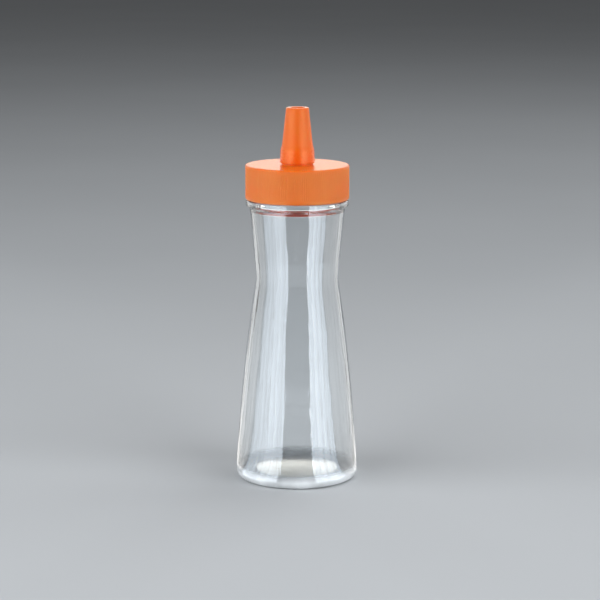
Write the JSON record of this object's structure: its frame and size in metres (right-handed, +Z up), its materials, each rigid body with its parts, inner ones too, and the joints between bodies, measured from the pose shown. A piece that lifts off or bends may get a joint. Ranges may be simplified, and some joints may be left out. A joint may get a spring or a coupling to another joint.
{
  "type": "dressing bottle",
  "caption": "Clear waisted bottle that holds and pours dressing, with a ribbed orange screw lid, tapered spout and pull-off tip cap.",
  "frame": {"origin": "centre of the ring that the bottle stands on, at table level", "axes": "+Z up along the axis of bottle, lid and spout; the object is round, and its threads start at 60 degrees from +X"},
  "size_m": [0.0658, 0.0658, 0.203],
  "materials": {
    "clear_body": "clear, thin and glossy, faintly grey, blown",
    "soft_seal": "soft, milky and matt",
    "orange_lid": "moulded orange, glossy on top, finely ribbed and duller on the skirt",
    "orange_cap": "moulded orange, satin on the taper, glossy on the collar"
  },
  "bodies": {
    "vessel": {"bottle": "clear_body"},
    "seal": {"packing_ring": "soft_seal"},
    "lid": {"screw_lid": "orange_lid"},
    "cap": {"tip_cap": "orange_cap"}
  },
  "joints": [
    {"name": "lid_rise", "type": "slide", "parent": "vessel", "child": "seal", "axis": [0, 0, 1], "range_m": [0, 0.0181]},
    {"name": "lid_turn", "type": "hinge", "parent": "seal", "child": "lid", "pos_m": [0, 0, 0.17], "axis": [0, 0, 1], "range_deg": [0, 1440]},
    {"name": "tip_cap_pull", "type": "slide", "parent": "lid", "child": "cap", "axis": [0, 0, 1], "range_m": [0, 0.035]}
  ],
  "couplings": [
    {"joint": "lid_rise", "follows": "lid_turn", "m_per_rad": 0.0007162}
  ]
}
